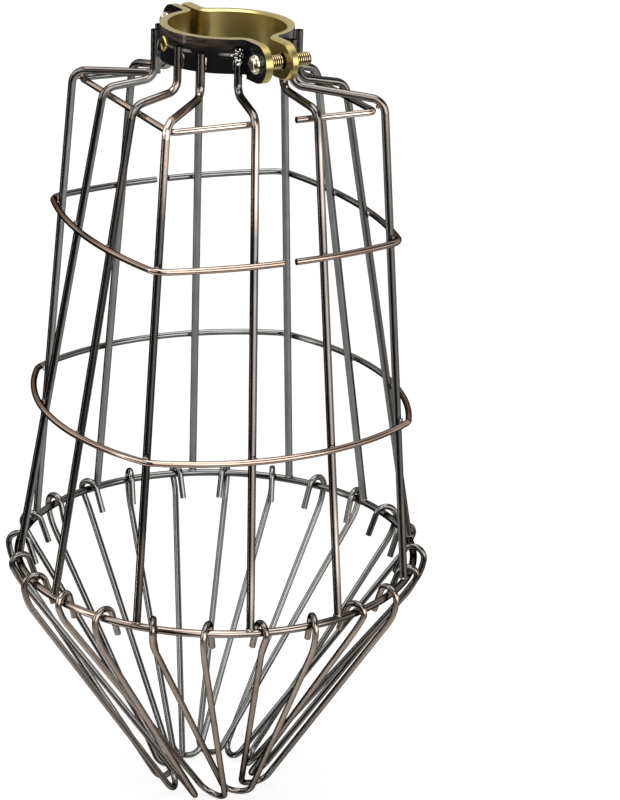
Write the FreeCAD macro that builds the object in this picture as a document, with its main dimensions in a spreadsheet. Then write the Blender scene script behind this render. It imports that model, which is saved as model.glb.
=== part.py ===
"""Wire guard for a light bulb: a clamp collar, twelve ribs, three hoops, a hem ring and twelve hooked petals.

Millimetres, +Z up. The origin is the middle of the collar's bore, which clamps on a lamp holder.
An azimuth is counted from the front (-Y) towards the right (+X).
"""
import FreeCAD, Part
import math
import os

Vector = FreeCAD.Vector
UP = Vector(0, 0, 1)
ORIGIN = Vector(0, 0, 0)

doc = FreeCAD.newDocument("bulb_cage_guard")

# Driving dimensions
DIMENSIONS = {
    # clamp collar
    "bore_radius": 19.0,
    "band_thickness": 2.5,
    "band_height": 11.0,
    "ear_azimuth": 30.0,
    "reach_right": 34.5,
    "reach_left": 36.0,
    "ear_drop": 1.2,
    "ear_bend": 2.4,
    "gap_right": 6.5,
    "gap_left": 2.5,
    "ear_flat": 0.1,
    # clamp screws
    "screw_radius": 2.0,
    "screw_length": 18.6,
    "inset_right": 5.9,
    "inset_left": 3.6,
    "screw_clearance": 0.3,
    "thread_clearance": 0.1,
    "head_radius": 3.1,
    "head_height": 2.1,
    "recess_width": 0.9,
    "recess_span": 3.6,
    "recess_depth": 1.2,
    "seat_gap": 0.05,
    # wires
    "rib_wire": 2.6,
    "hoop_wire": 2.1,
    "ring_wire": 2.5,
    "petal_wire": 2.1,
    "weld_gap": 0.05,
    "knee_gap": 0.1,
    # heights of the cage
    "shoulder_height": -14.8,
    "upper_height": -59.3,
    "lower_height": -120.2,
    "hem_height": -176.2,
    # plan of the cage
    "cage_azimuth": -19.5,
    "shoulder_side": 37.9,
    "shoulder_corner": 51.8,
    "hem_radius": 67.0,
    "neck_bend": 4.0,
    "shoulder_bend": 5.0,
    "hoop_bend": 7.0,
    "shoulder_gap": 15.0,
    "upper_gap": 4.5,
    "lower_gap": 1.0,
    # petals
    "first_hook": -107.0,
    "petal_span": 45.0,
    "hook_room": 1.15,
    "hook_seat": 0.8,
    "hook_turn": 15.0,
    "hook_tilt": 18.0,
    "tail_length": 8.5,
    "leg_start": 5.0,
    "leg_bend": 20.0,
    "leg_shift": 1.3,
    "tip_height": -262.4,
    "tip_radius": 15.5,
    "tip_swirl": 30.0,
    "tip_width": 8.4,
    "tip_bend": 5.0,
    "tip_shift": 0.8,
}

# How each rib was set by hand: azimuths of its stub, knee and foot, then heights of its top and its neck
RIB_SETTING = {
    1: (-108.0, -107.0, -110.9, 3.0, -12.9),
    2: (-88.5, -79.6, -80.6, 3.1, -12.7),
    3: (-41.8, -45.2, -51.2, 1.9, -12.2),
    4: (-20.1, -20.0, -21.8, 0.9, -13.2),
    5: (9.3, 13.9, 9.8, 3.4, -11.4),
    6: (51.4, 45.2, 36.4, 2.6, -11.4),
    7: (65.0, 75.0, 69.0, 3.2, -11.4),
    8: (90.0, 101.0, 99.5, 4.0, -11.6),
    9: (140.0, 131.4, 129.2, 3.0, -11.6),
    10: (159.5, 158.2, 157.4, 2.4, -11.8),
    11: (190.0, 193.3, 187.8, 3.0, -12.0),
    12: (231.0, 228.4, 219.8, 2.2, -12.4),
}
PETAL_COUNT = 12
SIDES = 4
RIBS_ON_A_SIDE = 3
QUARTER = 90.0


def fill_sheet():
    """One row per dimension: its name, its value and an alias."""
    sheet = doc.addObject("Spreadsheet::Sheet", "dims")
    rows = dict(DIMENSIONS)
    for number, setting in RIB_SETTING.items():
        for name, value in zip(("stub", "knee", "foot", "top", "neck"), setting):
            rows["rib_%02d_%s" % (number, name)] = value
    for row, (alias, value) in enumerate(rows.items(), start=1):
        sheet.set("A%d" % row, alias)
        sheet.set("B%d" % row, repr(value))
        sheet.setAlias("B%d" % row, alias)
    doc.recompute()
    return sheet


dims = fill_sheet()


def dim(alias):
    """A dimension's value, read from the sheet."""
    return float(dims.get(alias))


def radial(azimuth):
    """Unit vector away from the axis at an azimuth in degrees."""
    turn = math.radians(azimuth)
    return Vector(math.sin(turn), -math.cos(turn), 0)


def tangent(azimuth):
    """Unit vector along the rim at an azimuth in degrees."""
    turn = math.radians(azimuth)
    return Vector(math.cos(turn), math.sin(turn), 0)


def facing(azimuth, base=ORIGIN):
    """Placement whose X points away from the axis at an azimuth, and Y along the rim."""
    return FreeCAD.Placement(base, FreeCAD.Rotation(UP, azimuth - QUARTER))


def origin_plane(body, role):
    return next(plane for plane in body.Origin.OriginFeatures if plane.Role == role)


def new_body(label):
    body = doc.addObject("PartDesign::Body", label)
    body.Label = label
    return body


def new_sketch(body, name, role, offset=None):
    """Sketch on one of the body's own origin planes, moved along that plane's normal if asked."""
    sketch = body.newObject("Sketcher::SketchObject", body.Name + "_" + name)
    sketch.AttachmentSupport = [(origin_plane(body, role), "")]
    sketch.MapMode = "FlatFace"
    if offset:
        sketch.setExpression("AttachmentOffset.Base.z", offset)
    return sketch


def constrain(sketch, constraint, formula=None):
    """Add a constraint, bound to a formula of the sheet's values where it is a size."""
    import Sketcher
    number = sketch.addConstraint(Sketcher.Constraint(*constraint))
    if formula:
        sketch.setExpression("Constraints[%d]" % number, formula)


def edges_where(shape, test):
    """Names of the edges whose middle point and ends pass a test."""
    return ["Edge%d" % number for number, edge in enumerate(shape.Edges, start=1) if test(edge)]


# Wire helpers


def bend(before, corner, after, radius):
    """Arc that rounds a corner, as its start, middle and end points."""
    back = (before - corner).normalize()
    ahead = (after - corner).normalize()
    half = back.getAngle(ahead) / 2
    middle = (back + ahead).normalize()
    centre = corner + middle * (radius / math.sin(half))
    reach = radius / math.tan(half)
    return corner + back * reach, centre - middle * radius, corner + ahead * reach


def bent_path(points, radii):
    """Wire of straight runs joined by tangent arcs."""
    edges = []
    last = points[0]
    for before, corner, after, radius in zip(points, points[1:], points[2:], radii):
        start, middle, end = bend(before, corner, after, radius)
        if (start - last).dot(corner - before) < -1e-6:
            raise RuntimeError("two bends of a wire run into each other")
        if (start - last).Length > 1e-6:
            edges.append(Part.LineSegment(last, start).toShape())
        edges.append(Part.Arc(start, middle, end).toShape())
        last = end
    edges.append(Part.LineSegment(last, points[-1]).toShape())
    return Part.Wire(edges)


def wire_along(label, path, wire_alias):
    """Round wire swept along a path from end to end."""
    spine = doc.addObject("Part::Feature", label + "_path")
    spine.Shape = path
    first = path.Edges[0]
    section = doc.addObject("Part::Circle", label + "_section")
    section.setExpression("Radius", "dims.%s / 2" % wire_alias)
    section.Placement = FreeCAD.Placement(first.valueAt(first.FirstParameter),
                                          FreeCAD.Rotation(UP, first.tangentAt(first.FirstParameter)))
    doc.recompute()
    sweep = doc.addObject("Part::Sweep", label)
    sweep.Label = label
    sweep.Sections = [section]
    sweep.Spine = (spine, ["Edge%d" % number for number in range(1, len(path.Edges) + 1)])
    sweep.Solid = True
    return sweep


# Clamp collar


def ear_faces(side):
    """Distances of an ear's inner and outer faces from the parting line, on the right or the left."""
    inner = dim("gap_" + side) / 2
    return inner, inner + dim("band_thickness")


def ear_bend_centre(side):
    """Centre of the bend that turns the band outwards into an ear, in the half band's own plan."""
    outside = dim("bore_radius") + dim("band_thickness") + dim("ear_bend")
    height = ear_faces(side)[1] + dim("ear_bend")
    return Vector(math.sqrt(outside ** 2 - height ** 2), height, 0)


def screw_reach(side):
    """How far from the bore's axis a screw stands: its inset from the ears' tips."""
    return dim("reach_" + side) - dim("inset_" + side)


def band_outline(ends):
    """Plan of a half band above the parting line: bore, two ears and the outer face, as arcs and lines."""
    bore = dim("bore_radius")
    outer = bore + dim("band_thickness")
    sides = []
    for way, end in zip((1, -1), ends):
        centre = ear_bend_centre(end)
        reach = dim("reach_" + end)
        angle = math.atan2(centre.y, centre.x)
        swing = (angle + math.pi + 3 * math.pi / 2) / 2

        def place(x, y, way=way):
            return Vector(way * x, y, 0)

        def on_bend(radius):
            return place(centre.x + radius * math.cos(swing), centre.y + radius * math.sin(swing))

        inner_face, outer_face = ear_faces(end)
        sides.append({
            "bore": place(bore * math.cos(angle), bore * math.sin(angle)),
            "bore_bend": on_bend(dim("band_thickness") + dim("ear_bend")),
            "inner_start": place(centre.x, inner_face),
            "inner_end": place(reach, inner_face),
            "outer_end": place(reach, outer_face),
            "outer_start": place(centre.x, outer_face),
            "outer_bend": on_bend(dim("ear_bend")),
            "outer": place(outer * math.cos(angle), outer * math.sin(angle)),
        })
    right, left = sides
    geometry = [Part.Arc(right["bore"], Vector(0, bore, 0), left["bore"])]
    for side in (left, right):
        lap = [
            Part.Arc(side["bore"], side["bore_bend"], side["inner_start"]),
            Part.LineSegment(side["inner_start"], side["inner_end"]),
            Part.LineSegment(side["inner_end"], side["outer_end"]),
            Part.LineSegment(side["outer_end"], side["outer_start"]),
            Part.Arc(side["outer_start"], side["outer_bend"], side["outer"]),
        ]
        geometry += lap
    geometry.append(Part.Arc(left["outer"], Vector(0, outer, 0), right["outer"]))
    return geometry


def half_band(label, azimuth, ends, hole_formula, tapped):
    """Half band with an ear at each end, its X towards the first ear and its Y away from the other half."""
    body = new_body(label)
    plan = new_sketch(body, "plan", "XY_Plane", "-dims.band_height / 2")
    plan.addGeometry(band_outline(ends), False)
    doc.recompute()
    pad = body.newObject("PartDesign::Pad", label + "_band")
    pad.Profile = plan
    pad.setExpression("Length", "dims.band_height")

    drop = new_sketch(body, "ear_drop", "XY_Plane", "-dims.band_height / 2 - dims.ear_drop")
    tips = {way: way * dim("reach_" + end) for way, end in zip((1, -1), ends)}
    for way, end in zip((1, -1), ends):
        start = way * ear_bend_centre(end).x
        low, high = ear_faces(end)
        corners = [Vector(start, low, 0), Vector(tips[way], low, 0),
                   Vector(tips[way], high, 0), Vector(start, high, 0)]
        for one, other in zip(corners, corners[1:] + corners[:1]):
            drop.addGeometry(Part.LineSegment(one, other), False)
    doc.recompute()
    lip = body.newObject("PartDesign::Pad", label + "_ear_drop")
    lip.Profile = drop
    lip.setExpression("Length", "dims.ear_drop")
    doc.recompute()

    ear_height = dim("band_height") + dim("ear_drop")

    def is_ear_corner(edge):
        first, last = edge.Vertexes[0].Point, edge.Vertexes[-1].Point
        flat = abs(first.z - last.z) < 1e-6
        return flat and any(abs(first.x - tip) + abs(last.x - tip) < 1e-6 for tip in tips.values())

    round_end = body.newObject("PartDesign::Fillet", label + "_ear_round")
    round_end.Base = (lip, edges_where(lip.Shape, is_ear_corner))
    round_end.Radius = (ear_height - dim("ear_flat")) / 2
    doc.recompute()

    hole = new_sketch(body, "hole", "XZ_Plane")
    for way, end in zip((1, -1), ends):
        circle = hole.addGeometry(Part.Circle(Vector(way * screw_reach(end), -dim("ear_drop") / 2, 0), UP,
                                              dim("screw_radius")), False)
        constrain(hole, ("Radius", circle, dim("screw_radius")), hole_formula)
    doc.recompute()
    pocket = body.newObject("PartDesign::Pocket", label + "_hole")
    pocket.Profile = hole
    pocket.Type = "ThroughAll"
    pocket.Midplane = True
    doc.recompute()
    if not pocket.Shape.Volume < round_end.Shape.Volume:
        raise RuntimeError(label + ": the screw holes cut nothing")

    if tapped:
        faces = [ear_faces(end)[0] for end in ends]

        def is_hole_mouth(edge):
            low, high = edge.BoundBox.YMin, edge.BoundBox.YMax
            on_face = any(abs(low - face) + abs(high - face) < 1e-6 for face in faces)
            return on_face and isinstance(edge.Curve, Part.Circle)

        mouth = body.newObject("PartDesign::Chamfer", label + "_hole_mouth")
        mouth.Base = (pocket, edges_where(pocket.Shape, is_hole_mouth))
        mouth.setExpression("Size", "dims.band_thickness / 4")
        doc.recompute()
    body.Placement = facing(azimuth)
    return body


def clamp_screw(label, azimuth, side):
    """Pan-head screw with a cross recess, its head on the front half's ear and its thread in the rear ear."""
    body = new_body(label)
    radius = dim("head_radius")
    height = dim("head_height")
    shank = dim("screw_radius")
    length = dim("screw_length")
    rim = height / 3
    profile = new_sketch(body, "profile", "XZ_Plane")
    crown = Vector(0, height, 0)
    shoulder = Vector(radius * 0.72, height * 0.86, 0)
    edge = Vector(radius, rim, 0)
    outline = [Part.Arc(crown, shoulder, edge)]
    corners = [edge, Vector(radius, 0, 0), Vector(shank, 0, 0), Vector(shank, -length, 0),
               Vector(0, -length, 0), crown]
    outline += [Part.LineSegment(one, other) for one, other in zip(corners, corners[1:])]
    profile.addGeometry(outline, False)
    doc.recompute()
    turned = body.newObject("PartDesign::Revolution", label + "_turned")
    turned.Profile = profile
    turned.ReferenceAxis = (profile, ["V_Axis"])
    turned.Angle = 360
    doc.recompute()

    cross = new_sketch(body, "recess", "XY_Plane", "dims.head_height")
    half = dim("recess_width") / 2
    arm = dim("recess_span") / 2
    points = []
    for quarter in range(4):
        spin = FreeCAD.Rotation(UP, quarter * QUARTER)
        points += [spin.multVec(Vector(arm, -half, 0)), spin.multVec(Vector(arm, half, 0)),
                   spin.multVec(Vector(half, half, 0))]
    for one, other in zip(points, points[1:] + points[:1]):
        cross.addGeometry(Part.LineSegment(one, other), False)
    doc.recompute()
    recess = body.newObject("PartDesign::Pocket", label + "_recess")
    recess.Profile = cross
    recess.setExpression("Length", "dims.recess_depth")
    doc.recompute()
    if not recess.Shape.Volume < turned.Shape.Volume:
        raise RuntimeError(label + ": the cross recess cuts nothing")

    ear = dim("ear_azimuth")
    out = radial(azimuth)
    back = tangent(ear)
    seat = out * screw_reach(side) - back * (ear_faces(side)[1] + dim("seat_gap"))
    seat.z = -dim("ear_drop") / 2
    body.Placement = FreeCAD.Placement(seat, FreeCAD.Rotation(UP, -back))
    return body


# Ribs


def side_azimuth(number):
    """Azimuth of the square's side that a rib stands on, or of its own corner."""
    step = (number - 1) % RIBS_ON_A_SIDE
    side = (number - 1) // RIBS_ON_A_SIDE
    corner = dim("cage_azimuth") + QUARTER * (side - 1)
    return corner if step == 0 else corner + QUARTER / 2


def is_corner(number):
    return (number - 1) % RIBS_ON_A_SIDE == 0


def rib_corners(number):
    """Corners of a rib's centre line: its top, its neck, its knee and the ring's own centre."""
    label = "rib_%02d" % number
    collar = dim("bore_radius") + dim("band_thickness") + dim("weld_gap") + dim("rib_wire") / 2
    stub = radial(dim(label + "_stub")) * collar
    knee = dim(label + "_knee")
    if is_corner(number):
        reach = dim("shoulder_corner")
    else:
        reach = dim("shoulder_side") / math.cos(math.radians(knee - side_azimuth(number)))
    return [stub + UP * dim(label + "_top"), stub + UP * dim(label + "_neck"),
            radial(knee) * reach + UP * dim("shoulder_height"),
            radial(dim(label + "_foot")) * dim("hem_radius") + UP * dim("hem_height")]


def rib(number):
    """Bent wire: stub on the collar, sloping shoulder, and a flared leg that ends against the hem ring."""
    top, neck, knee, ring_centre = rib_corners(number)
    end = ring_centre + (knee - ring_centre).normalize() * (dim("ring_wire") / 2 + dim("weld_gap"))
    path = bent_path([top, neck, knee, end], [dim("neck_bend"), dim("shoulder_bend")])
    return wire_along("rib_%02d" % number, path, "rib_wire")


# Hoops


def leg_spot(number, height):
    """How far out a leg is at a height, square to its side or along its corner, and how far to one side."""
    _, _, knee, foot = rib_corners(number)
    share = (height - knee.z) / (foot.z - knee.z)
    spot = knee + (foot - knee) * share
    side = side_azimuth(number)
    return spot.dot(radial(side)), spot.dot(tangent(side))


def leg_clearance(number):
    """Level distance from a leaning leg's axis to a hoop that is welded to its outside."""
    high = dim("shoulder_height")
    low = dim("hem_height")
    lean = math.atan2(leg_spot(number, low)[0] - leg_spot(number, high)[0], high - low)
    return ((dim("rib_wire") + dim("hoop_wire")) / 2 + dim("weld_gap")) / math.cos(lean)


def hoop_plan(height):
    """Bulged square outside the ribs at a height: side reach and radius, corner reach and radius.

    Each corner arc passes outside the leg there, each side arc outside both of its legs, and they meet
    without a kink.
    """
    small = dim("hoop_bend")
    sides = []
    diagonal = 0.0
    for number in RIB_SETTING:
        out, along = leg_spot(number, height)
        clear = leg_clearance(number)
        if is_corner(number):
            diagonal = max(diagonal, out - math.sqrt((small - clear) ** 2 - along ** 2))
        else:
            sides.append((out, along, clear))
    lowest = max(out + clear for out, _, clear in sides)
    highest = diagonal + small
    for _ in range(60):
        reach = (lowest + highest) / 2
        inner = reach - small
        set_back = (diagonal ** 2 - inner ** 2) / (2 * inner - math.sqrt(2) * diagonal)
        big = reach + set_back
        slack = min(big - clear - math.hypot(out + set_back, along) for out, along, clear in sides)
        if slack > 0:
            highest = reach
        else:
            lowest = reach
    return highest, diagonal, small


def half_hoop(label, height, from_corner, gap, half):
    """Half of a bulged square hoop, from one gap to the opposite one."""
    reach, diagonal, small = hoop_plan(height)
    inner = reach - small
    set_back = (diagonal ** 2 - inner ** 2) / (2 * inner - math.sqrt(2) * diagonal)
    big = reach + set_back
    root = math.sqrt(0.5)
    meet = math.degrees(math.atan2(diagonal * root, set_back + diagonal * root))

    def ray(degrees):
        return Vector(math.cos(math.radians(degrees)), math.sin(math.radians(degrees)), 0)

    def side_arc(facing_angle, start, end):
        centre = ray(facing_angle) * -set_back
        return centre, big, facing_angle + start, facing_angle + end

    def corner_arc(facing_angle, start, end):
        centre = ray(facing_angle) * diagonal
        return centre, small, facing_angle + start, facing_angle + end

    turn = 45 - meet
    if from_corner:
        cut = math.degrees(gap / 2 / small)
        arcs = [corner_arc(-45, cut, turn), side_arc(0, -meet, meet), corner_arc(45, -turn, turn),
                side_arc(90, -meet, meet), corner_arc(135, -turn, -cut)]
    else:
        cut = math.degrees(gap / 2 / big)
        arcs = [side_arc(0, cut, meet), corner_arc(45, -turn, turn), side_arc(90, -meet, meet),
                corner_arc(135, -turn, turn), side_arc(180, -meet, -cut)]
    edges = []
    for centre, radius, start, end in arcs:
        spots = [centre + ray(angle) * radius for angle in (start, (start + end) / 2, end)]
        edges.append(Part.Arc(*spots).toShape())
    path = Part.Wire(edges)
    first_side = dim("cage_azimuth") + QUARTER / 2
    start_side = first_side + QUARTER if from_corner else first_side
    path.Placement = facing(start_side + 2 * QUARTER * half, UP * height)
    return wire_along(label, path, "hoop_wire")


def shoulder_contact():
    """Height of the hoop that nests inside the knees, its reach at the sides and its corner radius."""
    clear = (dim("rib_wire") + dim("hoop_wire")) / 2 + dim("knee_gap")
    heights = []
    sides = []
    corners = []
    for number in RIB_SETTING:
        _, neck, knee, foot = rib_corners(number)
        _, middle, _ = bend(neck, knee, foot, dim("shoulder_bend"))
        spot = middle + (middle - knee).normalize() * clear
        reach = spot.dot(radial(side_azimuth(number)))
        heights.append(spot.z)
        (corners if is_corner(number) else sides).append(reach)
    side = min(sides)
    return min(heights), side, (math.sqrt(2) * side - min(corners)) / (math.sqrt(2) - 1)


def shoulder_hoop(label, half):
    """Half of the square hoop that the shoulders rest on, open at two opposite sides."""
    height, side, radius = shoulder_contact()
    gap = dim("shoulder_gap") / 2
    points = [Vector(side, gap, 0), Vector(side, side, 0), Vector(-side, side, 0), Vector(-side, gap, 0)]
    path = bent_path(points, [radius, radius])
    path.Placement = facing(dim("cage_azimuth") + QUARTER / 2 + 2 * QUARTER * half, UP * height)
    return wire_along(label, path, "hoop_wire")


def hem():
    ring = doc.addObject("Part::Torus", "hem_ring")
    ring.Label = "hem_ring"
    ring.setExpression("Radius1", "dims.hem_radius")
    ring.setExpression("Radius2", "dims.ring_wire / 2")
    ring.setExpression("Placement.Base.z", "dims.hem_height")
    return ring


# Petals


def hook_points(azimuth, way):
    """Tail end, two corners of the hook over the ring, and the point where the leg sets off for the tip."""
    inner = dim("ring_wire") / 2 + dim("hook_room")
    reach = inner + dim("petal_wire") / 2
    drop = dim("hook_room") - dim("hook_seat")
    out = radial(azimuth - way * dim("hook_turn"))
    tilt = math.radians(dim("hook_tilt"))
    down = UP * -math.cos(tilt) - out * math.sin(tilt)
    away = out * math.cos(tilt) - UP * math.sin(tilt)
    middle = radial(azimuth) * dim("hem_radius") + UP * dim("hem_height") + down * drop
    return [middle - away * reach + down * dim("tail_length"), middle - away * reach - down * reach,
            middle + away * reach - down * reach,
            middle + away * (reach + way * dim("leg_shift")) + down * dim("leg_start")]


def meeting_radius(corners, reach):
    """Radius of the bend at the middle corner that starts a given length before it."""
    before, corner, after = corners
    return reach * math.tan((before - corner).getAngle(after - corner) / 2)


def petal(number):
    """Hairpin wire: hooked over the ring at both ends, with a narrow bend at the tip.

    The right leg stands a little outside the plane of the pair and the left leg inside it, so that each
    petal laps over the next one.
    """
    label = "petal_%02d" % number
    span = dim("petal_span")
    middle = dim("first_hook") + span / 2 + (number - 1) * 360 / PETAL_COUNT
    left = hook_points(middle - span / 2, -1)
    right = hook_points(middle + span / 2, 1)
    tip = radial(middle + dim("tip_swirl")) * dim("tip_radius") + UP * dim("tip_height")
    along = tangent(middle)
    normal = (tip - (left[-1] + right[-1]) / 2).cross(along).normalize()
    if normal.dot(radial(middle)) < 0:
        normal = -normal
    sideways = along * (dim("tip_width") / 2) + normal * dim("tip_shift")
    points = left + [tip - sideways, tip + sideways] + right[::-1]
    crown = (dim("ring_wire") + dim("petal_wire")) / 2 + dim("hook_room")
    left_hook = [meeting_radius(points[corner - 1:corner + 2], crown) for corner in (1, 2)]
    right_hook = [meeting_radius(points[corner - 1:corner + 2], crown) for corner in (7, 8)]
    radii = left_hook + [dim("leg_bend"), dim("tip_bend"), dim("tip_bend"), dim("leg_bend")] + right_hook
    return wire_along(label, bent_path(points, radii), "petal_wire")


# Assembly

EAR = dim("ear_azimuth")
LOOSE = "dims.screw_radius + dims.screw_clearance"
TAPPED = "dims.screw_radius + dims.thread_clearance"

pieces = [
    half_band("collar_front", EAR + 2 * QUARTER, ("left", "right"), LOOSE, False),
    half_band("collar_rear", EAR, ("right", "left"), TAPPED, True),
    clamp_screw("clamp_screw_right", EAR, "right"),
    clamp_screw("clamp_screw_left", EAR + 2 * QUARTER, "left"),
    shoulder_hoop("shoulder_hoop_rear", 0),
    shoulder_hoop("shoulder_hoop_front", 1),
    half_hoop("upper_hoop_rear", dim("upper_height"), False, dim("upper_gap"), 0),
    half_hoop("upper_hoop_front", dim("upper_height"), False, dim("upper_gap"), 1),
    half_hoop("lower_hoop_rear", dim("lower_height"), True, dim("lower_gap"), 0),
    half_hoop("lower_hoop_front", dim("lower_height"), True, dim("lower_gap"), 1),
    hem(),
]
pieces += [rib(number) for number in RIB_SETTING]
pieces += [petal(number) for number in range(1, PETAL_COUNT + 1)]
doc.recompute()

for item in doc.Objects:
    if "Invalid" in item.State or "Error" in item.State:
        raise RuntimeError(item.Name + " failed: " + ", ".join(item.State))
for piece in pieces:
    if piece.Shape.isNull() or not piece.Shape.isValid() or len(piece.Shape.Solids) != 1:
        raise RuntimeError(piece.Label + " isn't one valid solid")

os.makedirs("parts", exist_ok=True)
for piece in pieces:
    piece.Shape.exportStep("parts/%s.step" % piece.Label)
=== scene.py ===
"""Looks of the bulb cage guard: plated wires, a two-tone clamp collar, threads, welds and a brass lozenge.

Metres, in the same frame as the solids. An azimuth is counted from the front (-Y) towards the right (+X).
"""
import math

import bmesh
import bpy
import numpy as np
from mathutils import Matrix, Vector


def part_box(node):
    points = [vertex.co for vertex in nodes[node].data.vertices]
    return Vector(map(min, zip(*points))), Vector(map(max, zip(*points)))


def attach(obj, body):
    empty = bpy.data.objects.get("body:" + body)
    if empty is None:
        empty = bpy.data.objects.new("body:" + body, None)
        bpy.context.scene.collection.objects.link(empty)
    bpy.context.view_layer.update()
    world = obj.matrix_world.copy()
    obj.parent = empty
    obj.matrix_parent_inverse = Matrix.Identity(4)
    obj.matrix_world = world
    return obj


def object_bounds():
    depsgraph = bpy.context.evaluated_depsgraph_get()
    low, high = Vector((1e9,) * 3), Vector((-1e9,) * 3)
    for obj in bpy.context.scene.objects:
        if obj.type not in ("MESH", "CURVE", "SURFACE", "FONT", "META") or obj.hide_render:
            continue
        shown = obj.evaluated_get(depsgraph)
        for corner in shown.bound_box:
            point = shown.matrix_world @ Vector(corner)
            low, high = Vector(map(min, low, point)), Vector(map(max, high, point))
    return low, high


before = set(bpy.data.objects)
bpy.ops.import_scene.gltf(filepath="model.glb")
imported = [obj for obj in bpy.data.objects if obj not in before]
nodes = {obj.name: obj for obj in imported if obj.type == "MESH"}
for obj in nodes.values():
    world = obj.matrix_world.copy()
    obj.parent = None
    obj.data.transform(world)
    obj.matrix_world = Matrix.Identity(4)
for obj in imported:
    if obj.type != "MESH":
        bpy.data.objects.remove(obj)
cad_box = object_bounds()

# Places and sizes that the solids share
RIB_RADIUS = 0.0013
HOOP_RADIUS = 0.00105
EAR_AZIMUTH = 30.0
CAGE_AZIMUTH = -19.5
BAND_OUTSIDE = 0.0215
EAR_THICKNESS = 0.0025
GAPS = {"right": 0.0065, "left": 0.0025}
SCREW_REACH = {"right": 0.0286, "left": 0.0324}
SCREW_HEIGHT = -0.0006
SCREW_LENGTH = 0.0186
SHANK_RADIUS = 0.002
HEAD_HEIGHT = 0.0021
RIBS = ["rib_%02d" % number for number in range(1, 13)]
PETALS = ["petal_%02d" % number for number in range(1, 13)]
HOOPS = [level + "_hoop_" + half for level in ("shoulder", "upper", "lower") for half in ("front", "rear")]
UP = np.array([0.0, 0.0, 1.0])
RIGHT = np.array([1.0, 0.0, 0.0])
BACK = np.array([0.0, 1.0, 0.0])

# Where a wire's finish changes: the place where a change begins and the place where it is full
SIDE_TO_FRONT = (0.01, 0.042)
LOWER_CAGE = (-0.17, -0.11)
# Height and spread of the band on the wires' shoulders that carries a painted highlight
SHOULDER_HEIGHT = -0.02
SHOULDER_SPREAD = (0.004, 0.014)
HOOK_HEIGHTS = (-0.178, -0.174)
HOOK_REACH = (0.06, 0.062)
STUB_HEIGHTS = (-0.014, -0.008)

# Half sizes of the weld beads: sideways, outwards and up
CROSSING_BEAD = (0.0013, 0.0006, 0.0009)
SHOULDER_BEAD = (0.0012, 0.0007, 0.0007)
STUB_BEAD = (0.0017, 0.0005, 0.0028)
FOOT_BEAD = (0.0015, 0.0015, 0.0007)


def radial(azimuth):
    """Unit vector away from the axis at an azimuth in degrees."""
    turn = math.radians(azimuth)
    return np.array([math.sin(turn), -math.cos(turn), 0.0])


def tangent(azimuth):
    """Unit vector along the rim at an azimuth in degrees."""
    turn = math.radians(azimuth)
    return np.array([math.cos(turn), math.sin(turn), 0.0])


def screw_out(side):
    """Direction from the collar's axis to a screw."""
    return radial(EAR_AZIMUTH if side == "right" else EAR_AZIMUTH + 180.0)


def screw_seat(side):
    """Middle of the face that a screw's head bears on.

    The shank runs from there along tangent(EAR_AZIMUTH).
    """
    back = tangent(EAR_AZIMUTH) * (GAPS[side] / 2 + EAR_THICKNESS)
    return screw_out(side) * SCREW_REACH[side] + UP * SCREW_HEIGHT - back


# Materials


class Socket:
    """One output socket of a tree of nodes: arithmetic on it adds Math nodes and gives their outputs."""

    def __init__(self, tree, output=None):
        self.tree = tree
        self.output = output

    def node(self, kind, settings, sockets, result=0):
        """Add a node of a kind, apply its settings, then fill or link its sockets, and give one output."""
        made = self.tree.nodes.new(kind)
        for name, value in settings.items():
            setattr(made, name, value)
        for name, value in sockets.items():
            if isinstance(value, Socket):
                self.tree.links.new(value.output, made.inputs[name])
            else:
                made.inputs[name].default_value = value
        return Socket(self.tree, made.outputs[result])

    def math(self, operation, first, second=0.0):
        return self.node("ShaderNodeMath", {"operation": operation}, {0: first, 1: second})

    def __add__(self, other):
        return self.math("ADD", self, other)

    def __radd__(self, other):
        return self.math("ADD", other, self)

    def __sub__(self, other):
        return self.math("SUBTRACT", self, other)

    def __rsub__(self, other):
        return self.math("SUBTRACT", other, self)

    def __mul__(self, other):
        return self.math("MULTIPLY", self, other)

    def __rmul__(self, other):
        return self.math("MULTIPLY", other, self)

    def __abs__(self):
        return self.math("ABSOLUTE", self)

    def larger(self, other):
        return self.math("MAXIMUM", self, other)

    def step(self, low, high):
        """0 below low, 1 above high and a smooth rise between them."""
        return self.node("ShaderNodeMapRange", {"interpolation_type": "SMOOTHSTEP"},
                         {"Value": self, "From Min": low, "From Max": high})

    def blend(self, first, second):
        """Colour between two colours, by this value."""
        return self.node("ShaderNodeMix", {"data_type": "RGBA"}, {0: self, 6: first, 7: second}, 2)

    def vector(self, operation, other, result=0):
        return self.node("ShaderNodeVectorMath", {"operation": operation}, {0: self, 1: other}, result)

    def along(self, direction):
        """Length of this vector along a unit direction."""
        return self.vector("DOT_PRODUCT", tuple(direction), "Value")

    def length(self):
        return self.node("ShaderNodeVectorMath", {"operation": "LENGTH"}, {0: self}, "Value")


def colour(red, green, blue):
    return (red, green, blue, 1.0)


def grey(level):
    return colour(level, level, level)


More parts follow.
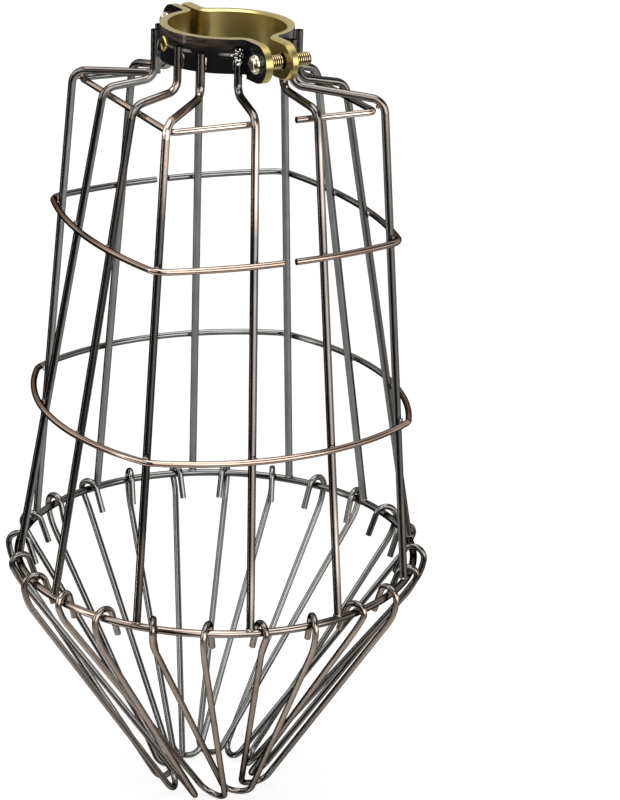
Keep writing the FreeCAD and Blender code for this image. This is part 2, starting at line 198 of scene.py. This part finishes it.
class Finish:
    """A material under way: its shader, and the places and normals that its patterns read."""

    def __init__(self, name, constants):
        self.material = bpy.data.materials.new(name)
        self.material.use_nodes = True
        tree = self.material.node_tree
        self.shader = next(node for node in tree.nodes if node.type == "BSDF_PRINCIPLED")
        for socket, value in constants.items():
            self.shader.inputs[socket].default_value = value
        self.root = Socket(tree)
        self.spot = self.root.node("ShaderNodeTexCoord", {}, {}, "Object")
        self.normal = self.root.node("ShaderNodeTexCoord", {}, {}, "Normal")

    def noise(self, scale, detail, roughness, spot=None):
        """Soft random pattern around 0.5, with about as many lumps to a metre as its scale."""
        sockets = {"Vector": spot or self.spot, "Scale": scale, "Detail": detail, "Roughness": roughness}
        return self.root.node("ShaderNodeTexNoise", {}, sockets)

    def level(self):
        """Place without its height."""
        return self.spot.vector("MULTIPLY", (1.0, 1.0, 0.0))

    def outward(self):
        """How squarely the surface faces away from the upright axis, from -1 to 1."""
        level = self.level()
        away = level.node("ShaderNodeVectorMath", {"operation": "NORMALIZE"}, {0: level})
        return away.vector("DOT_PRODUCT", self.normal, "Value")

    def off_line(self, base, direction):
        """Distance from a line through a base point."""
        gap = self.spot.vector("SUBTRACT", tuple(base))
        return gap.vector("CROSS_PRODUCT", tuple(direction)).length()

    def bump(self, height, depth):
        """Small relief, its depth in metres, on the shader's normal."""
        made = self.root.node("ShaderNodeBump", {}, {"Height": height, "Distance": depth, "Strength": 1.0})
        self.link("Normal", made)

    def link(self, socket, value):
        self.root.tree.links.new(value.output, self.shader.inputs[socket])


def antique_wire(name, inner, warm, low_warm, worn, at_sides, dullness):
    """Dark plating on wire, rubbed to a warm copper in front and at the back, and grey on the inner faces.

    A function of the height and of the place to the right gives how worn the wire is, from 0 to 1. At the
    sides of the cage only a share of the wear is left. On the shoulders the copper is painted paler, a
    painted highlight for the glints there, and low on the cage it has a colour of its own. Dullness is added
    to the
    roughness: its first number on the inner faces, its second on the worn faces of the stubs and low on the
    cage, apart from the hooks.
    """
    dark_plating = colour(0.135, 0.122, 0.114)
    glint_copper = colour(0.66, 0.53, 0.45)
    inner_dullness, worn_dullness = dullness
    finish = Finish(name, {"Metallic": 1.0, "Specular Tint": grey(0.0)})
    cloud = finish.noise(30.0, 1.5, 0.5)
    speck = finish.noise(140.0, 1.5, 0.5)
    height = finish.spot.along(UP)
    inside = 1 - finish.outward().step(-0.5, 0.1)
    handled = abs(finish.spot.along(BACK)).step(*SIDE_TO_FRONT)
    low = 1 - height.step(*LOWER_CAGE)
    # Painted highlight: the copper turns paler on the shoulders, standing in for their glints
    shoulder = 1 - abs(height - SHOULDER_HEIGHT).step(*SHOULDER_SPREAD)
    wear = worn(height, finish.spot.along(RIGHT))
    rubbed = (cloud + wear - 0.5).step(0.3, 0.65) * (handled * (1 - at_sides) + at_sides)
    copper = low.blend(shoulder.blend(warm, glint_copper), low_warm)
    plating = rubbed.blend(dark_plating, copper)
    tone = (speck * 0.5 + 0.5).blend(grey(0.5), grey(1.25))
    finish.link("Base Color", inside.blend(plating, inner).vector("MULTIPLY", tone))
    hook = height.step(*HOOK_HEIGHTS) * finish.level().length().step(*HOOK_REACH)
    matte = (low * (1 - hook)).larger(height.step(*STUB_HEIGHTS))
    dull = inside * inner_dullness + rubbed * matte * (1 - inside) * worn_dullness
    finish.link("Roughness", speck * 0.06 + dull + 0.12)
    finish.bump(finish.noise(220.0, 1.0, 0.5), 0.000006)
    return finish.material


def collar_plate(name, away):
    """Satin brass, with black plate on the outside of a half band and on the outer faces of its ears.

    Towards the upper rim the black carries a painted warm sheen, stronger at the left, and a painted white
    highlight runs along the band at mid height. Painted shade darkens the brass round the right screw's
    shank.
    """
    square_on = (0.55, 0.75)
    highlight_height = 0.0006
    dull_brass = colour(0.42, 0.335, 0.105)
    clear_brass = colour(0.66, 0.54, 0.23)
    shaded_brass = colour(0.05, 0.035, 0.012)
    sheen_brown = colour(0.11, 0.073, 0.062)
    highlight_white = colour(0.7, 0.66, 0.62)
    finish = Finish(name, {"Specular Tint": grey(0.8)})
    on_band = 1 - finish.level().length().step(BAND_OUTSIDE + 0.0004, BAND_OUTSIDE + 0.0012)
    band = (finish.outward() * on_band).step(*square_on)
    black = band.larger(finish.normal.along(away).step(*square_on))
    height = finish.spot.along(UP)
    cloud = finish.noise(70.0, 4.0, 0.6)
    speck = finish.noise(520.0, 3.0, 0.6)
    # Painted shade: the brass turns dark round the right screw's shank, where the ear's hole lies in shade
    off_screw = finish.off_line(screw_seat("right"), tangent(EAR_AZIMUTH))
    hole_shade = 1 - off_screw.step(SHANK_RADIUS + 0.0002, SHANK_RADIUS + 0.0011)
    brass = cloud.blend(dull_brass, clear_brass)
    brass = hole_shade.blend(brass, shaded_brass)
    # Painted sheen: a warm sheen on the black towards the upper rim, stronger at the left and broken into
    # streaks
    left = 1 - finish.spot.along(RIGHT).step(-0.014, 0.006)
    sheen_streaks = finish.noise(160.0, 3.0, 0.5, finish.spot.vector("MULTIPLY", (1.0, 1.0, 6.0)))
    painted_sheen = (height + (cloud - 0.5) * 0.006).step(0.0004, 0.0045) * band * (left * 0.85 + 0.15)
    painted_sheen = painted_sheen * sheen_streaks.step(0.3, 0.62)
    plate = painted_sheen.blend(grey(0.009), sheen_brown)
    # Painted highlight: a pale, more metallic line along the band at mid height, standing in for a
    # reflection
    painted_highlight = (1 - abs(height - highlight_height + (cloud - 0.5) * 0.0008).step(0.0001, 0.0006)) * band
    painted_highlight = painted_highlight * finish.noise(95.0, 2.0, 0.5).step(0.42, 0.6)
    plate = painted_highlight.blend(plate, highlight_white)
    finish.link("Base Color", black.blend(brass, plate))
    finish.link("Metallic", 1 - black * 0.7 + painted_highlight * 0.5)
    finish.link("Roughness", 0.27 - black * 0.16 + speck * 0.08)
    finish.bump(speck, 0.00002)
    return finish.material


def screw_brass(name, side):
    """Pale bright plating on a screw's head, with painted shade in its recess, and dark brass along its
    shank that is partly oxide and partly painted shade.

    At r metres off the screw's axis the head's dome stands its height less 59 r^2 proud of its seat.
    """
    dome_fall = 59.0
    recess_radius = 0.0019
    shank_oxide_and_shade = colour(0.07, 0.052, 0.022)
    finish = Finish(name, {"Metallic": 1.0})
    speck = finish.noise(700.0, 3.0, 0.6)
    along = tangent(EAR_AZIMUTH)
    depth = finish.spot.vector("SUBTRACT", tuple(screw_seat(side))).along(along)
    off = finish.off_line(screw_seat(side), along)
    sunk = (depth + HEAD_HEIGHT - off * off * dome_fall).step(0.00008, 0.0002)
    recess = sunk * (1 - off.step(recess_radius, recess_radius + 0.0001))
    recess = recess * (1 - depth.step(-0.0006, -0.0004))
    bright = speck.blend(colour(0.6, 0.53, 0.35), colour(0.85, 0.79, 0.6))
    # Painted shade in the head's recess. Along the shank behind the head, dark brass that is partly oxide
    # and partly painted shade
    dark = depth.step(0.0, 0.0004).larger(recess)
    finish.link("Base Color", dark.blend(bright, shank_oxide_and_shade))
    finish.link("Roughness", speck * 0.12 + 0.12)
    finish.bump(speck, 0.00003)
    return finish.material


def bright_metal(name, low, high, gloss):
    """Bare metal between two colours, with a fine uneven polish."""
    finish = Finish(name, {"Metallic": 1.0})
    speck = finish.noise(700.0, 3.0, 0.6)
    finish.link("Base Color", speck.blend(low, high))
    finish.link("Roughness", speck * 0.12 + gloss)
    finish.bump(speck, 0.00003)
    return finish.material


def pale_floor(name):
    """White paper on a glowing table, which leaves little shadow."""
    finish = Finish(name, {"Roughness": 0.6, "Specular IOR Level": 0.1, "Emission Color": grey(1.0),
                           "Emission Strength": 0.84})
    cloud = finish.noise(3.0, 2.0, 0.5)
    finish.link("Base Color", cloud.blend(grey(0.11), grey(0.13)))
    return finish.material


def rib_wear(height, aside):
    """Ribs are worn on their knees, on the stubs at the left, and near the hem.

    The third rib is worn less at its knee, and the fourth more, but not so far down. They are told by their
    place to the right, so the ribs behind them share their wear.
    """
    right_stub = height.step(-0.016, -0.01) * aside.step(-0.001, 0.005)
    third = 1 - abs(aside + 0.035).step(0.007, 0.01)
    fourth = 1 - abs(aside + 0.018).step(0.005, 0.008)
    knee = height.step(-0.08, -0.03) * (0.5 - third * 0.2 - fourth * 0.5)
    knee = knee + height.step(-0.055, -0.035) * fourth * 0.7
    near_hem = 1 - height.step(-0.165, -0.105)
    return knee - right_stub * 0.5 + near_hem * 0.5


def hoop_wear(height, aside):
    """Hoops are worn alike all over."""
    return 0.62


def ring_wear(height, aside):
    """The hem ring is worn a little less at the right."""
    return 0.52 - aside.step(0.02, 0.04) * 0.12


def petal_wear(height, aside):
    """Petals are worn on their legs and dark over their hooks."""
    return 0.72 - height.step(-0.177, -0.172) * 0.45


HOOP_COPPER = colour(0.42, 0.312, 0.255)
RING_COPPER = colour(0.44, 0.35, 0.295)
PETAL_COPPER = colour(0.38, 0.314, 0.265)
RIB_FINISH = antique_wire("rib_plating", inner=colour(0.34, 0.352, 0.335), warm=colour(0.47, 0.375, 0.325),
                          low_warm=colour(0.46, 0.41, 0.37), worn=rib_wear, at_sides=0.1,
                          dullness=(0.32, 0.2))
HOOP_FINISH = antique_wire("hoop_plating", inner=colour(0.19, 0.195, 0.19), warm=HOOP_COPPER,
                           low_warm=HOOP_COPPER, worn=hoop_wear, at_sides=0.9, dullness=(0.0, 0.0))
RING_FINISH = antique_wire("ring_plating", inner=colour(0.15, 0.154, 0.15), warm=RING_COPPER,
                           low_warm=RING_COPPER, worn=ring_wear, at_sides=0.1, dullness=(0.0, 0.0))
PETAL_FINISH = antique_wire("petal_plating", inner=colour(0.19, 0.193, 0.185), warm=PETAL_COPPER,
                            low_warm=PETAL_COPPER, worn=petal_wear, at_sides=0.1, dullness=(0.0, 0.25))
WELD_FINISH = bright_metal("weld_scale", colour(0.1, 0.09, 0.083), colour(0.42, 0.37, 0.34), 0.14)
SPATTER_FINISH = bright_metal("weld_spatter", colour(0.6, 0.58, 0.55), colour(0.9, 0.88, 0.85), 0.1)
THREAD_FINISH = bright_metal("thread_brass", colour(0.5, 0.4, 0.18), colour(0.78, 0.68, 0.42), 0.14)
LOZENGE_FINISH = bright_metal("lozenge_brass", colour(0.45, 0.3, 0.08), colour(0.75, 0.58, 0.24), 0.14)
COLLAR_FINISH = {"collar_front": collar_plate("collar_front_plate", -tangent(EAR_AZIMUTH)),
                 "collar_rear": collar_plate("collar_rear_plate", tangent(EAR_AZIMUTH))}


def dress(name, material):
    """Give a solid its finish."""
    materials = nodes[name].data.materials
    materials.clear()
    materials.append(material)


for name in RIBS:
    dress(name, RIB_FINISH)
for name in HOOPS:
    dress(name, HOOP_FINISH)
dress("hem_ring", RING_FINISH)
for name in PETALS:
    dress(name, PETAL_FINISH)
for name, material in COLLAR_FINISH.items():
    dress(name, material)
for side in GAPS:
    dress("clamp_screw_" + side, screw_brass("screw_plating_" + side, side))


# Surfaces


def grid_piece(name, points, material):
    """Mesh of grids of points (count, rows, columns, 3), as a piece of the cage.

    Columns close round, and points of end rows that meet are merged.
    """
    count, rows, columns, _ = points.shape
    number = np.arange(count * rows * columns).reshape(count, rows, columns)
    low = number[:, :-1]
    high = number[:, 1:]
    quads = np.stack([low, np.roll(low, -1, axis=2), np.roll(high, -1, axis=2), high], axis=-1)
    mesh = bpy.data.meshes.new(name)
    mesh.from_pydata(points.reshape(-1, 3).tolist(), [], quads.reshape(-1, 4).tolist())
    work = bmesh.new()
    work.from_mesh(mesh)
    bmesh.ops.remove_doubles(work, verts=work.verts, dist=1e-7)
    bmesh.ops.recalc_face_normals(work, faces=work.faces)
    work.to_mesh(mesh)
    work.free()
    mesh.polygons.foreach_set("use_smooth", np.ones(len(mesh.polygons), dtype=bool))
    mesh.materials.append(material)
    piece = bpy.data.objects.new(name, mesh)
    bpy.context.scene.collection.objects.link(piece)
    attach(piece, "cage")


def triangles(name):
    """Corner points of a solid's triangles, (count, 3, 3)."""
    mesh = nodes[name].data
    mesh.calc_loop_triangles()
    spots = np.empty(len(mesh.vertices) * 3)
    mesh.vertices.foreach_get("co", spots)
    corners = np.empty(len(mesh.loop_triangles) * 3, dtype=np.int32)
    mesh.loop_triangles.foreach_get("vertices", corners)
    return spots.reshape(-1, 3)[corners].reshape(-1, 3, 3)


def cut_middle(name, height):
    """Middle of a wire where a level plane cuts it.

    A triangle's edge with its ends on both sides meets the plane at start + (end - start) * share, and the
    middle is that of the box round all those points.
    """
    corners = triangles(name)
    start = corners.reshape(-1, 3)
    end = np.roll(corners, -1, axis=1).reshape(-1, 3)
    before = start[:, 2] - height
    after = end[:, 2] - height
    cut = before * after < 0
    share = (before[cut] / (before[cut] - after[cut]))[:, None]
    spots = start[cut] + (end[cut] - start[cut]) * share
    return (spots.min(axis=0) + spots.max(axis=0)) / 2


def middle_height(name):
    low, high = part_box(name)
    return (low.z + high.z) / 2


def rib_facing(number):
    """Azimuth that a rib's hoops face where they cross it: its corner's, or its side's."""
    corner = CAGE_AZIMUTH + 90.0 * ((number - 1) // 3 - 1)
    return corner if (number - 1) % 3 == 0 else corner + 45.0


def bead_places():
    """Middle, outward direction and half sizes of every weld bead."""
    stub_height = -0.0005
    stub_inset = 0.0011
    stub_drop = 0.002
    foot_slice = 0.0006
    shoulder = np.vstack([triangles("shoulder_hoop_" + half).reshape(-1, 3) for half in ("front", "rear")])
    shoulder_height = middle_height("shoulder_hoop_front")
    places = []
    for number, name in enumerate(RIBS, start=1):
        out = radial(rib_facing(number))
        along = tangent(rib_facing(number))
        for level in ("upper", "lower"):
            spot = cut_middle(name, middle_height(level + "_hoop_front"))
            places.append((spot + out * RIB_RADIUS, out, CROSSING_BEAD))
        leg = cut_middle(name, shoulder_height)
        hoop = out * ((shoulder @ out).max() - HOOP_RADIUS) + along * (leg @ along) + UP * shoulder_height
        places.append((hoop + (out + UP) * HOOP_RADIUS * 0.7, out, SHOULDER_BEAD))
        stub = cut_middle(name, stub_height)
        away = stub * (1, 1, 0) / np.linalg.norm(stub[:2])
        places.append((stub - away * stub_inset - UP * stub_drop, away, STUB_BEAD))
        leg = triangles(name).reshape(-1, 3)
        foot = leg[leg[:, 2] < leg[:, 2].min() + foot_slice].mean(axis=0)
        places.append((foot, out, FOOT_BEAD))
    return places


def spatter_places():
    """Middle, outward direction and half sizes of the droplets by the fifth rib's stub.

    Some sit on the stub's outer side, and the rest on the band beside it.
    """
    on_stub = 30
    on_band = 18
    stub_facing = EAR_AZIMUTH - 20.0
    stub_height = 0.0005
    largest_drop = 0.0005
    band_facing = 9.5
    band_top = 0.0042
    random = np.random.default_rng(11)
    stub = cut_middle("rib_05", stub_height) * (1, 1, 0)
    stub_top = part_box("rib_05")[1].z - largest_drop
    turns = random.uniform(-80.0, 80.0, on_stub)
    heights = random.uniform(-0.002, stub_top, on_stub)
    sizes = random.uniform(0.0002, 0.00045, on_stub)
    places = []
    for turn, height, size in zip(turns, heights, sizes):
        out = radial(stub_facing + turn)
        middle = stub + out * (RIB_RADIUS - size * 0.1) + UP * height
        places.append((middle, out, (size * 1.2, size * 0.6, size)))
    azimuths = random.normal(band_facing, 3.0, on_band)
    heights = random.uniform(-0.001, band_top, on_band)
    sizes = random.uniform(0.0002, largest_drop, on_band)
    for azimuth, height, size in zip(azimuths, heights, sizes):
        out = radial(azimuth)
        middle = out * (BAND_OUTSIDE + size * 0.2) + UP * height
        places.append((middle, out, (size * 1.3, size * 0.6, size)))
    return places


def lumps(name, places, material):
    """Rough lumps at places.

    Each is a sphere of angles (lat, lon) stretched by its half sizes, with a wobble of
    1 + (0.12 sin(3 lon + phase) sin(lat) + 0.08 sin(5 lat + 2 lon + phase)) sin(lat).
    """
    rings = 11
    spokes = 18
    random = np.random.default_rng(7)
    phase = random.uniform(0, 2 * math.pi, (len(places), 1, 1))
    lat = np.linspace(0, math.pi, rings)[None, :, None]
    lon = np.linspace(0, 2 * math.pi, spokes, endpoint=False)[None, None, :]
    ripple = 0.12 * np.sin(3 * lon + phase) * np.sin(lat) + 0.08 * np.sin(5 * lat + 2 * lon + phase)
    wobble = 1 + ripple * np.sin(lat)
    ball = (np.sin(lat) * np.cos(lon), np.sin(lat) * np.sin(lon), np.cos(lat))
    unit = np.stack(np.broadcast_arrays(*ball), axis=-1)
    middles, outs, sizes = (np.array(values) for values in zip(*places))
    ups = np.broadcast_to(UP, outs.shape)
    axes = np.stack([np.cross(ups, outs), outs, ups], axis=1)
    local = unit * wobble[..., None] * sizes[:, None, None, :]
    points = np.einsum("brci,bij->brcj", local, axes) + middles[:, None, None, :]
    grid_piece(name, points, material)


def screw_thread(side):
    """Ridge of a screw's thread, between the ears and behind the rear ear.

    An ellipse of six points is carried along the helix (r cos t, r sin t, pitch t / 2 pi), and shrinks to
    a point at both ends.
    """
    pitch = 0.00075
    run_out = 0.0003
    ridge_radius = SHANK_RADIUS - 0.00006
    ridge_height = 0.0003
    ridge_width = 0.0002
    steps_per_turn = 24
    gap = GAPS[side]
    spans = [(EAR_THICKNESS + run_out, EAR_THICKNESS + gap - run_out),
             (EAR_THICKNESS * 2 + gap + run_out, SCREW_LENGTH - run_out)]
    out = screw_out(side)
    along = tangent(EAR_AZIMUTH)
    for number, (start, end) in enumerate(spans, start=1):
        turns = (end - start) / pitch
        t = np.linspace(0, 2 * math.pi * turns, int(turns * steps_per_turn))
        taper = np.clip(np.minimum(t, t[-1] - t) / math.pi, 0, 1)[:, None]
        ring = np.linspace(0, 2 * math.pi, 6, endpoint=False)[None, :]
        radius = ridge_radius + ridge_height * np.cos(ring) * taper
        height = start + pitch * t[:, None] / (2 * math.pi) + ridge_width * np.sin(ring) * taper
        across = (radius * np.cos(t)[:, None])[..., None]
        upward = (radius * np.sin(t)[:, None])[..., None]
        points = out * across + UP * upward + along * height[..., None] + screw_seat(side)
        grid_piece("thread_%s_%d" % (side, number), points[None], THREAD_FINISH)


def lozenge():
    """Small brass lozenge on the front half band, with a dished middle.

    At angle a round it, the edge lies at 1 / (|cos a|^p + |sin a|^p)^(1/p) of its half sizes, with p = 1.25.
    At each share of the way out it stands proud of the band by its height times that row's rise: a dish,
    a rounded rim, and a drop into the band, where a last row closes the back.
    """
    azimuth = -66.5
    height = 0.0005
    half_width = 0.0028
    half_height = 0.0026
    proud = 0.0006
    power = 1.25
    turn = np.linspace(0, 2 * math.pi, 32, endpoint=False)
    edge = (np.abs(np.cos(turn)) ** power + np.abs(np.sin(turn)) ** power) ** (-1 / power)
    share = np.array([0.0, 0.3, 0.55, 0.72, 0.82, 0.9, 0.97, 1.0, 1.0])[:, None]
    rise = np.array([0.35, 0.4, 0.55, 0.8, 1.0, 1.0, 0.8, 0.4, -0.3])[:, None] * proud
    aside = share * edge * np.cos(turn) * half_width
    up = share * edge * np.sin(turn) * half_height
    bearing = np.radians(azimuth) + aside / BAND_OUTSIDE
    reach = BAND_OUTSIDE + rise
    points = np.stack([reach * np.sin(bearing), -reach * np.cos(bearing), height + up], axis=-1)
    back = np.repeat(points[-1:].mean(axis=1, keepdims=True), len(turn), axis=1)
    grid_piece("band_lozenge", np.vstack([points, back])[None], LOZENGE_FINISH)


lumps("weld_beads", bead_places(), WELD_FINISH)
lumps("weld_spatter", spatter_places(), SPATTER_FINISH)
screw_thread("right")
screw_thread("left")
lozenge()


# Studio


def floor_sheet():
    """Wide pale floor just under the petals' tips.

    The wires don't mirror it, so that they keep a dark side.
    """
    half = 12.0
    drop = 0.0002
    height = cad_box[0][2] - drop
    corners = [(-half, -half, height), (half, -half, height), (half, half, height), (-half, half, height)]
    mesh = bpy.data.meshes.new("floor")
    mesh.from_pydata(corners, [], [(0, 1, 2, 3)])
    mesh.materials.append(pale_floor("floor_paper"))
    floor = bpy.data.objects.new("floor", mesh)
    floor.visible_glossy = False
    bpy.context.scene.collection.objects.link(floor)


def room_light(root):
    """Brightness of the room by direction, from its parts to the right, to the back and up."""
    sight = root.node("ShaderNodeTexCoord", {}, {}, "Generated")
    aside = sight.along(RIGHT)
    behind = sight.along(BACK)
    rise = sight.along(UP)
    right = aside.step(0.1, 0.6) * (rise.step(-0.34, -0.2) * 0.85 + 0.12) * (1 - rise.step(0.25, 0.4))
    left = (1 - aside.step(-0.7, -0.5)) * rise.step(0.04, 0.14) * (1 - rise.step(0.4, 0.5)) * 1.3
    back = behind.step(0.1, 0.6) * rise.step(-0.12, 0.05) * 0.75
    above = rise.step(0.6, 0.9) * 0.4 + rise.step(0.87, 0.91) * 3.6
    below = (rise * -1.0).step(0.45, 0.85) * 0.9
    near = (1 - behind.step(-0.5, -0.38)) * (aside.step(-0.25, -0.1) * 1.3 + aside.step(0.05, 0.15) * 1.5)
    near = near * rise.step(-0.14, -0.07) * (1 - rise.step(0.44, 0.54))
    key = (1 - abs(aside - 0.02).step(0.26, 0.36)) * (1 - behind.step(-0.4, -0.3)) * 2.8
    key = key + (1 - aside.step(-0.7, -0.55)) * (1 - behind.step(0.1, 0.2)) * 1.4
    key = key * (1 - abs(rise - 0.57).step(0.14, 0.18))
    strip = (1 - abs(sight.along(tangent(-78.0))).step(0.015, 0.05)) * (1 - aside.step(-0.5, -0.4)) * 4.0
    return right.larger(back).larger(above).larger(below).larger(left) + near + strip + key + 0.03


def studio():
    """White backdrop for the camera, a soft room for all else to mirror, and a light under the ceiling."""
    world = bpy.data.worlds.new("studio")
    world.use_nodes = True
    root = Socket(world.node_tree)
    seen = root.node("ShaderNodeLightPath", {}, {}, "Is Camera Ray")
    strength = room_light(root) * (1 - seen) + seen
    backdrop = world.node_tree.nodes["Background"]
    backdrop.inputs["Color"].default_value = grey(1.0)
    world.node_tree.links.new(strength.output, backdrop.inputs["Strength"])
    bpy.context.scene.world = world
    bpy.context.scene.view_settings.view_transform = "Standard"

    data = bpy.data.lights.new("ceiling_light", "AREA")
    data.size = 4.0
    data.energy = 10.0
    ceiling = bpy.data.objects.new("ceiling_light", data)
    ceiling.location = (0.0, 0.6, 2.4)
    ceiling.visible_glossy = False
    bpy.context.scene.collection.objects.link(ceiling)


def photo_camera():
    """Camera at the photograph's place: turned to the right, tilted down and rolled a little."""
    frame_height = 800.0
    focal_pixels = 2803.43
    sensor = 36.0
    place = (0.0, -0.871214, 0.213005)
    data = bpy.data.cameras.new("photo_camera")
    data.sensor_fit = "AUTO"
    data.sensor_width = sensor
    data.lens = sensor * focal_pixels / frame_height
    camera = bpy.data.objects.new("photo_camera", data)
    turn = Matrix.Rotation(math.radians(-1.983), 4, "Z")
    tilt = Matrix.Rotation(math.radians(90.0 - 21.0005), 4, "X")
    roll = Matrix.Rotation(math.radians(1.927), 4, "Z")
    camera.matrix_world = Matrix.Translation(place) @ turn @ tilt @ roll
    bpy.context.scene.collection.objects.link(camera)
    bpy.context.scene.camera = camera


floor_sheet()
studio()
photo_camera()
